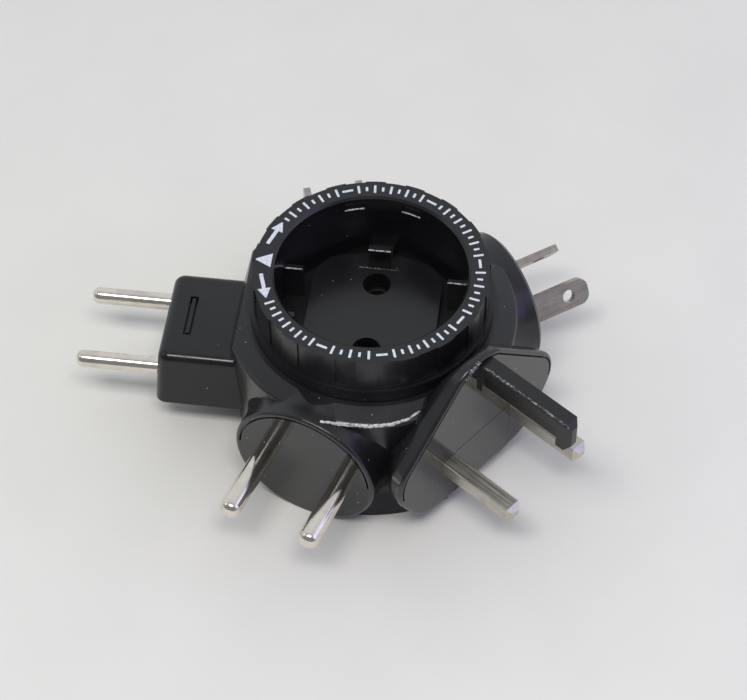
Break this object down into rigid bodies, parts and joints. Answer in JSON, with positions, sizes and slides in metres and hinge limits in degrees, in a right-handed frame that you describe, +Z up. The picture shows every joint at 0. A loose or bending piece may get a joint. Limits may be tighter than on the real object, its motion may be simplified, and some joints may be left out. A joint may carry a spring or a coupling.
{
  "type": "universal plug adapter",
  "caption": "Black star-shaped travel adapter: a round body with different mains plugs round its side and a socket on top whose ring turns to choose the plug in use.",
  "frame": {"origin": "on the turning axis of the socket, at the flat underside that the adapter stands on", "axes": "+Z up along the turning axis, -X out along the two-pin Euro plug; the other plugs follow every 72 degrees anticlockwise seen from above: round-faced two-pin, UK, slanted blades, upright blades"},
  "size_m": [0.1174, 0.1062, 0.046],
  "materials": {
    "housing_black": "moulded, satin to gloss",
    "socket_black": "moulded, satin, white print on the ring",
    "inner_plastic": "plain moulded",
    "nickel": "nickel plated brass, polished",
    "blade_metal": "plated, satin",
    "contact_brass": "plain stamped",
    "screw_steel": "zinc plated"
  },
  "bodies": {
    "body": {"upper_housing": "housing_black", "base_cover": "housing_black", "euro_block": "housing_black", "uk_earth_pin": "housing_black", "housing_screws": "screw_steel", "detent_spring": "screw_steel", "euro_pin_left": "nickel", "euro_pin_right": "nickel", "round_pin_left": "nickel", "round_pin_right": "nickel", "uk_pin_line": "nickel", "uk_pin_neutral": "nickel", "type_i_blade_left": "blade_metal", "type_i_blade_right": "blade_metal", "us_blade_left": "blade_metal", "us_blade_right": "blade_metal", "euro_strips": "contact_brass", "round_strips": "contact_brass", "uk_strips": "contact_brass", "type_i_strips": "contact_brass", "us_strips": "contact_brass"},
    "socket": {"socket_cup": "socket_black", "contact_carrier": "inner_plastic", "socket_contact_left": "contact_brass", "socket_contact_right": "contact_brass", "carrier_screws": "screw_steel"}
  },
  "joints": [
    {"name": "socket_turn", "type": "hinge", "parent": "body", "child": "socket", "pos_m": [0, 0, 0], "axis": [0, 0, 1], "continuous": true}
  ]
}
